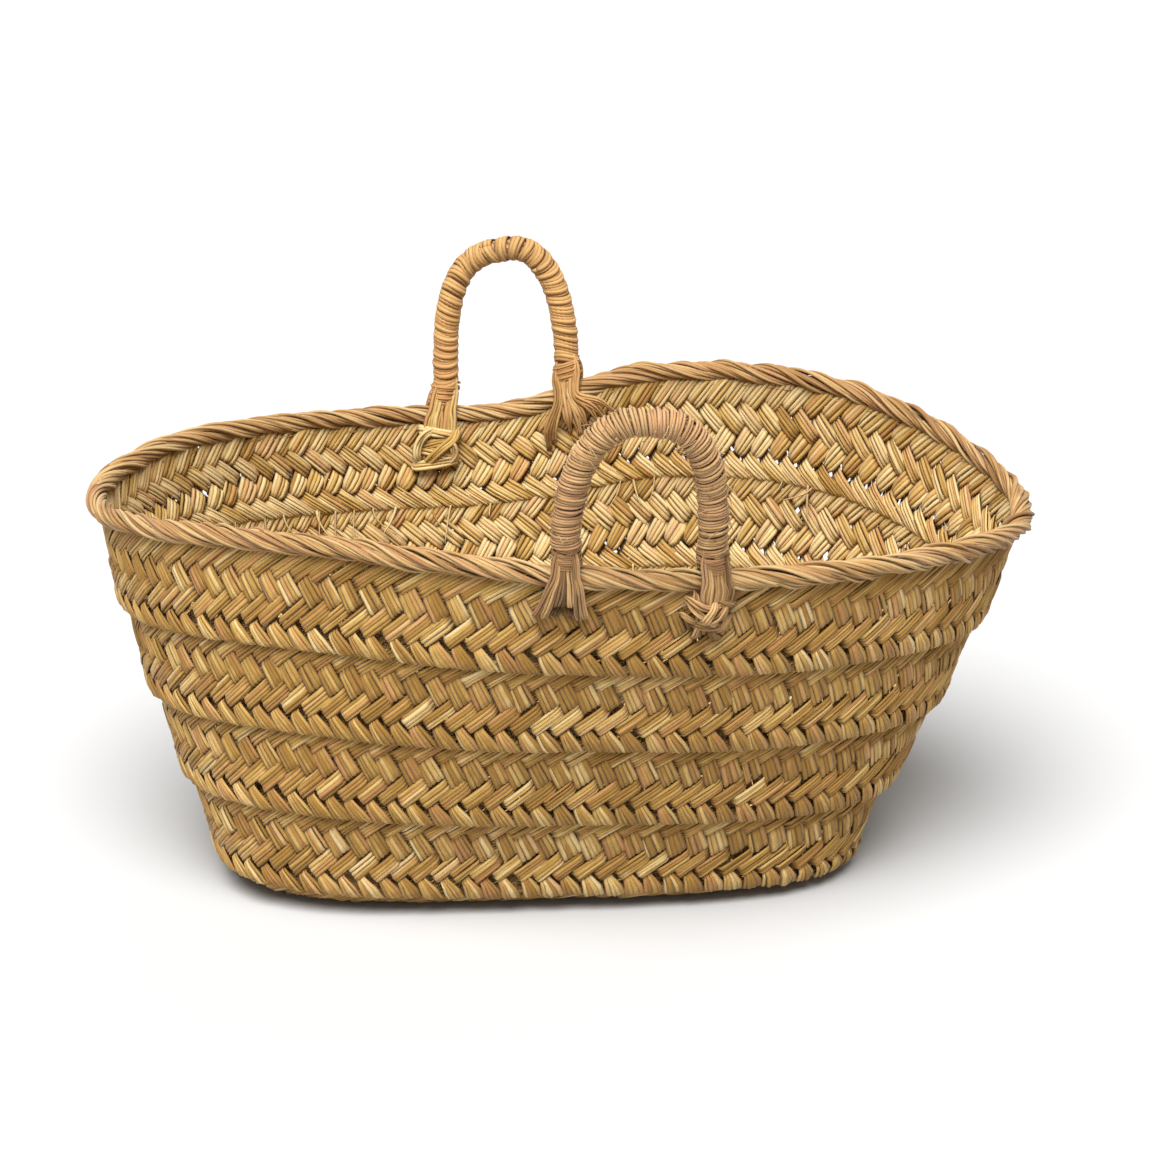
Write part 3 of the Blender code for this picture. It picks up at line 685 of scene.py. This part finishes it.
def handle_line(side, count):
    """Centre line of a handle from its splayed foot to its knot, and the direction square to the arch."""
    splay = by_the_rim(MIDDLES[side] + side * SPANS[side] / 2, -ROOT_RISE, 0, side)
    knot = by_the_rim(MIDDLES[side] - side * SPANS[side] / 2, -ROOT_RISE, 0, side)
    half = np.linalg.norm(knot - splay) / 2
    along = (knot - splay) / (2 * half)
    lean = np.array([0, side * math.sin(HANDLE_LEAN), math.cos(HANDLE_LEAN)])
    rise = HANDLE_HEIGHT - ROOT_RISE + RIM_ROPE / 2
    turn = np.linspace(0, math.pi, 1441)
    c, s = np.cos(turn), np.sin(turn)
    power = np.where(c > 0, 2 / SPLAY_SIDE_SQUARENESS, 2 / KNOT_SIDE_SQUARENESS)
    a = np.sign(-c) * np.abs(c) ** power * half
    b = rise * np.abs(s) ** power
    run = np.concatenate([[0], np.cumsum(np.hypot(np.diff(a), np.diff(b)))])
    even = np.linspace(0, run[-1], count)
    points = (splay + knot) / 2 + np.interp(even, run, a)[:, None] * along + np.interp(even, run, b)[:, None] * lean
    return points, unit(np.cross(along, lean)), run[-1]


def wind_handle(name, side, band, stalks, overlap, thickness, roughness, crown, slant, shade, seed):
    """Leaf wound round the handle: a helix of bands, each of a few stalks side by side."""
    rng = np.random.default_rng(seed)
    steps = 16
    line, square, length = handle_line(side, 400)
    windings = int(length / band)
    rows = windings * steps
    # The bands aren't all as wide: the helix runs now faster, now slower.
    widths = 1 + rng.uniform(-0.3, 0.3, windings)
    starts = np.concatenate([[0], np.cumsum(widths) / widths.sum()])
    place = np.interp(np.linspace(0, windings, rows), np.arange(windings + 1), starts)
    turn = 2 * math.pi * np.linspace(0, windings, rows)
    # Nor are they square to it: each is drawn aslant, and which way changes along the handle.
    swing = np.interp(turn, np.linspace(0, turn[-1], 9), rng.uniform(-2, 2, 9))
    tangent = unit(np.gradient(line, axis=0))
    steps_along = np.arange(len(line))
    centre, facing, tone = [], [], []
    for stalk in range(stalks):
        lane = (stalk + 0.5) / stalks - 0.5
        thirds = np.arange(windings * 3 + 1)
        rough = np.interp(turn, thirds * 2 * math.pi / 3, rng.normal(0, roughness, len(thirds)))
        at = place + lane * band / length * 0.97 + slant * np.sin(turn + swing) / length
        at = np.clip(at, 0, 1) * (len(line) - 1)
        point = np.stack([np.interp(at, steps_along, line[:, i]) for i in range(3)], -1)
        heading = unit(np.stack([np.interp(at, steps_along, tangent[:, i]) for i in range(3)], -1))
        out = square * np.cos(turn)[:, None] + np.cross(heading, square) * np.sin(turn)[:, None]
        radius = WRAP_RADIUS - LEAF_DEPTH + rough - crown * (2 * lane) ** 2
        centre.append(point + out * radius[:, None])
        facing.append(out)
        tone.append(shade + rng.normal(0, 0.08))
    return lay_stalks(name, np.array(centre), np.array(facing), band / stalks * overlap, thickness, np.array(tone))


rear_leaf = straw("smooth_wound_leaf", "#85602f", "#b08750", "#bf9b66", "#aa7648", "#5a3817", 0.3)
front_leaf = straw("rough_wound_leaf", "#775532", "#b08a5b", "#cbae80", "#aa7c59", "#3a220c", 0.6)
front_winding = dict(band=0.0036, stalks=2, overlap=0.62, thickness=0.0010, roughness=0.00055, crown=0.0007,
                     slant=0.0010, shade=0.52)
rear_winding = dict(band=0.0066, stalks=3, overlap=0.85, thickness=0.0006, roughness=0.00020, crown=0.0010,
                    slant=0.0034, shade=0.50)
for prefix, side, winding, paint in (("front_handle", -1, front_winding, front_leaf),
                                     ("rear_handle", 1, rear_winding, rear_leaf)):
    wrap = wind_handle(prefix + "_windings", side, seed=50 + side, **winding)
    wrap.data.materials.append(paint)
    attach(wrap, prefix)
    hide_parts(prefix + "_wrap")

# Fibres that have come loose from the front handle's rough leaf.
FIBRES, FIBRE_ROWS = 150, 6
rng = np.random.default_rng(58)
line, square, _ = handle_line(-1, 400)
tangent = unit(np.gradient(line, axis=0))
centre, facing = [], []
for fibre in range(FIBRES):
    at = int(rng.uniform(12, 385))
    turn = rng.uniform(0, 2 * math.pi)
    out = square * math.cos(turn) + np.cross(tangent[at], square) * math.sin(turn)
    round_it = np.cross(tangent[at], out)
    away = np.linspace(0, 1, FIBRE_ROWS)[:, None]
    reach, lift, drift = rng.uniform(0.004, 0.009), rng.uniform(0.0006, 0.0026), rng.uniform(-0.005, 0.005)
    centre.append(line[at] + out * (WRAP_RADIUS - 0.0004 + lift * away) + round_it * reach * away
                  + tangent[at] * drift * away**2)
    facing.append(np.tile(out, (FIBRE_ROWS, 1)))
fibres = lay_stalks("front_handle_fibres", np.array(centre), np.array(facing),
                    0.00032 * np.linspace(1, 0.4, FIBRE_ROWS)[None], 0.00025, rng.normal(0.7, 0.2, FIBRES))
fibres.data.materials.append(front_leaf)
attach(fibres, "front_handle")

# The stiff rope inside each handle is a thick hard twist of coarser leaf.
core_leaf, tree, shader = new_material("coarse_twisted_leaf")
place = add_node(tree, "ShaderNodeTexCoord")
strands = add_node(tree, "ShaderNodeTexWave", {"bands_direction": "DIAGONAL"},
                   {"Vector": place.outputs["Object"], "Scale": 90.0, "Distortion": 3.0, "Detail": 2.0})
ramp = add_node(tree, "ShaderNodeValToRGB", inputs={"Fac": strands.outputs["Fac"]})
ramp.color_ramp.elements[0].color = to_linear("#6b4a26")
ramp.color_ramp.elements[1].color = to_linear("#b58c56")
tree.links.new(ramp.outputs["Color"], shader.inputs["Base Color"])
bump = add_node(tree, "ShaderNodeBump",
                inputs={"Height": strands.outputs["Fac"], "Distance": 0.0006, "Strength": 0.8})
tree.links.new(bump.outputs["Normal"], shader.inputs["Normal"])
shader.inputs["Roughness"].default_value = 0.8
for node in ("front_handle_core", "rear_handle_core"):
    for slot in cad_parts[node].material_slots:
        slot.material = core_leaf


# ---- feet of the handles --------------------------------------------------------------------
# Each handle ends in leaf that straddles the rim. At one leg it fans out over both faces of the wall
# and is stitched into the plait; at the other it is lashed down with a knot of crossing loops.
def smooth_line(corners, rows):
    """Smooth curve through a few points."""
    corners = np.asarray(corners, float)
    padded = np.concatenate([2 * corners[:1] - corners[1:2], corners, 2 * corners[-1:] - corners[-2:-1]])
    place = np.linspace(0, len(corners) - 1, rows)
    i = np.minimum(place.astype(int), len(corners) - 2)
    t = (place - i)[:, None]
    a, b, c, d = padded[i], padded[i + 1], padded[i + 2], padded[i + 3]
    return 0.5 * (2 * b + (c - a) * t + (2 * a - 5 * b + 4 * c - d) * t**2 + (3 * b - a - 3 * c + d) * t**3)


def leaf_bundles(name, side, foot_x, routes, seed, shade, paint, rows):
    """Flat bundles of leaf over the rim. A route is how wide the bundle is, how light, and points of
    (sideways, down, out), all in millimetres."""
    rng = np.random.default_rng(seed)
    stalks = 3
    centre, facing, tone, wide = [], [], [], []
    share = np.linspace(0, 1, rows)
    for width, light, route in routes:
        line = smooth_line(route, rows) / 1000
        heading = unit(np.gradient(line[:, :2], axis=0))
        square_on = np.stack([heading[:, 1], -heading[:, 0], 0 * heading[:, 0]], -1)
        taper = np.clip(share / 0.12, 0.5, 1) * np.clip((1 - share) / 0.2, 0.45, 1)
        for stalk in range(stalks):
            lane = (stalk - 1) * width / 1000 / stalks * 0.86
            spot = line + smooth_line(rng.normal(0, 0.0003, (4, 3)), rows) + square_on * (lane * taper)[:, None]
            spot[:, 2] -= np.sign(spot[:, 2]) * abs(stalk - 1) * 0.0003
            point = by_the_rim(foot_x + spot[:, 0], spot[:, 1], spot[:, 2], side)
            nearer = by_the_rim(foot_x + spot[:, 0] * 0.6, spot[:, 1] + 0.001, spot[:, 2] * 0.2, side)
            centre.append(point)
            facing.append(unit(point - nearer))
            tone.append(shade + light + rng.normal(0, 0.13))
            wide.append(width / 1000 / stalks * 0.66 * taper)
    made = lay_stalks(name, np.array(centre), np.array(facing), np.array(wide), 0.0008, np.array(tone))
    made.data.materials.append(paint)
    return made


ROPE = 1000 * RIM_ROPE / 2
LEG = 1000 * WRAP_RADIUS


def from_the_leg(face, fan, spread):
    """The start of a bundle: down the handle's leg and over the rim rope."""
    return [(fan * LEG * 0.6, -ROPE - 17, face * LEG * 0.5), (fan * LEG * 0.7, -ROPE - 6, face * (LEG - 2.0)),
            (fan * spread * 0.8, -ROPE * 0.6, face * (ROPE + 1.8)), (fan * spread, ROPE * 0.5, face * (ROPE + 2.8))]


def neck(rng, low, width):
    """Leaf wound round the bundles between the handle's own windings and the rim."""
    turns = (ROPE + 15 - low) / (width * 0.86)
    rise = np.linspace(0, 1, int(turns * 9))
    turn = rise * turns * 2 * math.pi
    size = LEG - 0.6 + rng.normal(0, 0.3, len(rise))
    return [(s * math.cos(t), -(ROPE + 15) + (ROPE + 15 - low) * r, s * math.sin(t))
            for s, t, r in zip(size, turn, rise)]


def front_splay(rng):
    """Six flat leaves a face, spread to 22 mm. The middle two go into the plait sooner and leave a dip,
    where short ends of the darkest tone lie as painted shadow."""
    routes = []
    for face in (1, -1):
        for fan, end in ((-1, 25), (-0.6, 26), (-0.15, 18), (0.3, 18), (0.7, 26), (1.05, 25)):
            routes.append((4.2, rng.normal(0.05, 0.2), from_the_leg(face, fan, 7.5) + [
                (fan * 9.0, (end + ROPE) / 2, face * (8.4 + rng.uniform(0, 1.4))),
                (fan * 10.5, end - 2, face * 7.4), (fan * 10.5, end + 2, face * 1.5)]))
        # Short ends of the darkest tone: painted shadow in the dip between the middle leaves.
        for x, down in ((-6, 24), (-1.5, 23), (3, 24), (6, 25)):
            routes.append((4.0, -0.65, [(x, down - 6, face * 3.0), (x * 1.1, down - 2, face * 6.4),
                                        (x * 1.2, down + 3, face * 1.5)]))
    return routes


def rear_splay(rng):
    """A thin tuft to one side, a thick pale one straight down, and the rest bent along under the rim."""
    routes = []
    for face in (1, -1):
        for fan, light, width, mid, end in (
                (-1.15, -0.1, 5.0, (-14.5, 17), (-16, 32)), (-0.85, 0.0, 5.0, (-11.0, 16), (-13.5, 28)),
                (-0.3, 0.22, 6.5, (-2.5, 15), (-3.5, 26)), (0.1, 0.3, 7.0, (2.0, 16), (1.5, 29)),
                (0.5, 0.2, 6.5, (6.0, 15), (6.5, 26)), (0.9, 0.0, 5.5, (14.5, 13), (19, 26)),
                (1.1, 0.1, 5.5, (18.0, 11), (24, 21)), (0.7, -0.2, 5.0, (11, 14), (14, 28))):
            routes.append((width, light, from_the_leg(face, fan, 6.0) + [
                (mid[0], mid[1], face * (9.0 + rng.uniform(-0.5, 1.0))), (end[0], end[1], face * 4.0)]))
    return routes


def rear_knot(rng):
    """Straps over the rim, held down by broad level turns and three crossings: squarish and close."""
    routes = []
    for face in (1, -1):
        for fan, light in ((-1.0, 0.0), (-0.35, 0.15), (0.35, -0.05), (1.0, 0.1)):
            routes.append((6.4, light, from_the_leg(face, fan, 8.0) + [
                (fan * 8.5, 16, face * 9.5), (fan * 9.0, 27, face * 8.5), (fan * 8.0, 35, face * 2.0)]))
        for height, light, out, lean in ((11, 0.3, 12.5, 2.5), (17.5, -0.1, 12.0, -2.0), (24.5, 0.1, 11.8, 3.0),
                                         (31.5, 0.28, 10.5, -1.5)):
            x = rng.uniform(13.5, 16)
            routes.append((6.8, light, [(-x, height - lean, face * 2.5), (-x + 2.5, height - lean, face * 9.0),
                                        (rng.uniform(-4, 4), height, face * out),
                                        (x - 2.5, height + lean, face * 9.0), (x, height + lean, face * 2.5)]))
        for width, light, crossing in (
                (6.4, 0.2, ((1, 9, 9), (-9, 11, 13.0), (-14, 18, 12.0), (-14, 27, 11.0), (-8, 34, 3))),
                (6.4, 0.0, ((12, 8, 7), (10, 15, 13.5), (2, 22, 14.6), (-6, 31, 10), (-8, 36, 3))),
                (6.0, 0.25, ((2, 15, 8), (9, 19, 13.5), (12, 26, 12.0), (6, 33, 8), (3, 36, 2)))):
            routes.append((width, light, [(x, down, face * out) for x, down, out in crossing]))
    return routes


def front_knot(rng):
    """Pale straps over the rim, then an uneven star of short crossing ends pulled down into the plait."""
    routes = []
    for face in (1, -1):
        for fan, light in ((-1.0, 0.2), (-0.45, 0.3), (0.1, 0.15), (0.6, 0.0), (1.0, -0.2)):
            routes.append((4.8, light, from_the_leg(face, fan, 7.5) + [
                (fan * 6.0 - 1, 15, face * 9.0), (fan * 5.0 - 1, 22, face * 4.6)]))
        for x, down, heading, length, out, light in (
                (-5, 11, 12, 24, 11.5, 0.15), (-1, 18, -36, 26, 12.5, 0.05), (-6, 19, 38, 27, 12.0, 0.2),
                (-3, 26, -4, 24, 10.0, -0.1), (-10, 15, 80, 22, 10.0, -0.2), (5, 16, 97, 22, 10.0, 0.1),
                (-4, 16, -64, 20, 13.5, 0.25), (0, 31, 58, 18, 8.5, -0.3), (-9, 29, 112, 18, 8.5, 0.1),
                (6, 9, 30, 16, 10.0, -0.2), (4, 26, 140, 18, 9.0, 0.2), (-13, 22, 20, 15, 8.0, 0.0),
                (-3, 22, 90, 16, 9.5, -0.5), (1, 13, 60, 14, 10.0, -0.5)):
            c, s = math.cos(math.radians(heading)), math.sin(math.radians(heading))
            half = length / 2
            route = [(x + c * half * share, down + s * half * share, face * lift)
                     for share, lift in ((-1, 3.8), (-0.55, out - 1.0), (0.55, out - 1.0), (1, 3.8))]
            route.insert(2, (x + rng.normal(0, 0.8), down + rng.normal(0, 0.8), face * out))
            routes.append((4.4, light, route))
    return routes


foot_leaf = straw("knotted_leaf", "#5f4425", "#977243", "#c6a06a", "#94694a", "#382109")
for prefix, side, paint, shade, splay, knot in (("front_handle", -1, foot_leaf, 0.5, front_splay, front_knot),
                                                ("rear_handle", 1, rear_leaf, 0.5, rear_splay, rear_knot)):
    rng = np.random.default_rng(61 + side)
    for kind, foot_x, routes in (("splay", MIDDLES[side] + side * SPANS[side] / 2, splay(rng)),
                                 ("knot", MIDDLES[side] - side * SPANS[side] / 2, knot(rng))):
        leaf = plaited_leaf if prefix == "rear_handle" and kind == "knot" else paint
        foot = leaf_bundles(f"{prefix}_{kind}_leaf", side, foot_x, routes, 70 + side, shade, leaf, 24)
        binding = leaf_bundles(f"{prefix}_{kind}_neck", side, foot_x, [(4.2, 0.0, neck(rng, ROPE + 1.0, 4.2))],
                               80 + side, shade, paint, 90)
        bpy.ops.object.select_all(action="DESELECT")
        binding.select_set(True)
        foot.select_set(True)
        bpy.context.view_layer.objects.active = foot
        bpy.ops.object.join()
        start = by_the_rim(foot_x, -ROOT_RISE + 0.006, 0, side)
        end = by_the_rim(foot_x, -ROOT_RISE - 0.006, 0, side)
        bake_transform(foot)
        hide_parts(f"{prefix}_{kind}")
